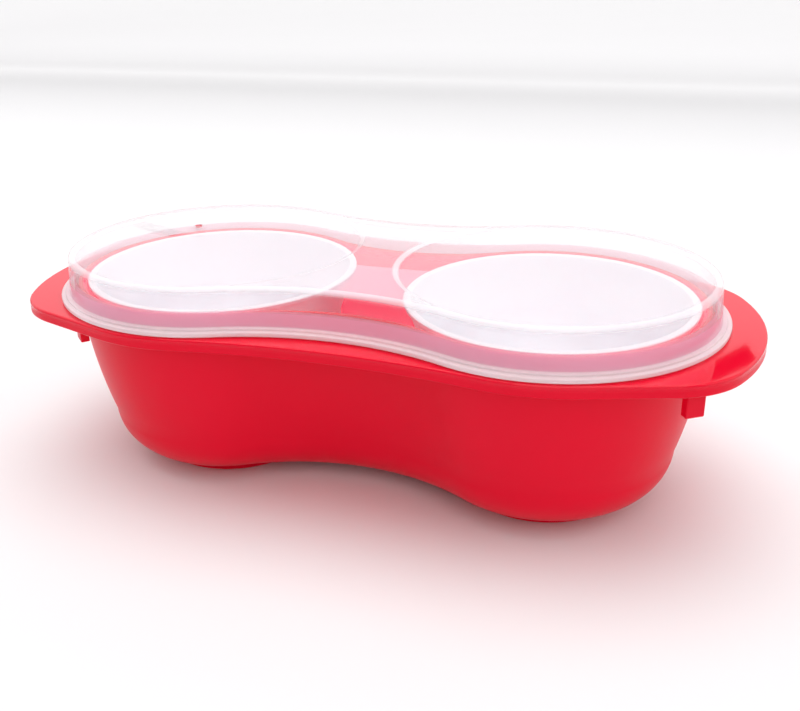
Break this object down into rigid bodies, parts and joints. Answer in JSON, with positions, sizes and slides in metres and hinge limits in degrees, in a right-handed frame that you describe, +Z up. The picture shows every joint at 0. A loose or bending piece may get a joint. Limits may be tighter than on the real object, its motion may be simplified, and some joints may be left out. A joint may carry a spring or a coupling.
{
  "type": "microwave egg cooker",
  "caption": "Peanut-shaped egg cooker: red tub with ear grips, lift-out tray of round egg cups, and a clear vented lid that lifts off.",
  "frame": {"origin": "on the table under the middle of the tub", "axes": "+X along the length from ear to ear, +Y across it, +Z up through the lid"},
  "size_m": [0.24, 0.1088, 0.0742],
  "materials": {
    "red_plastic": "satin moulded",
    "white_plastic": "milky moulded",
    "clear_plastic": "milky translucent, polished"
  },
  "bodies": {
    "tub": {"base_tub": "red_plastic"},
    "tray": {"egg_tray": "white_plastic"},
    "cover": {"lid": "clear_plastic"}
  },
  "joints": [
    {"name": "tray_lift", "type": "slide", "parent": "tub", "child": "tray", "axis": [0, 0, 1], "range_m": [0, 0.06]},
    {"name": "lid_lift", "type": "slide", "parent": "tray", "child": "cover", "axis": [0, 0, 1], "range_m": [0, 0.06]}
  ]
}
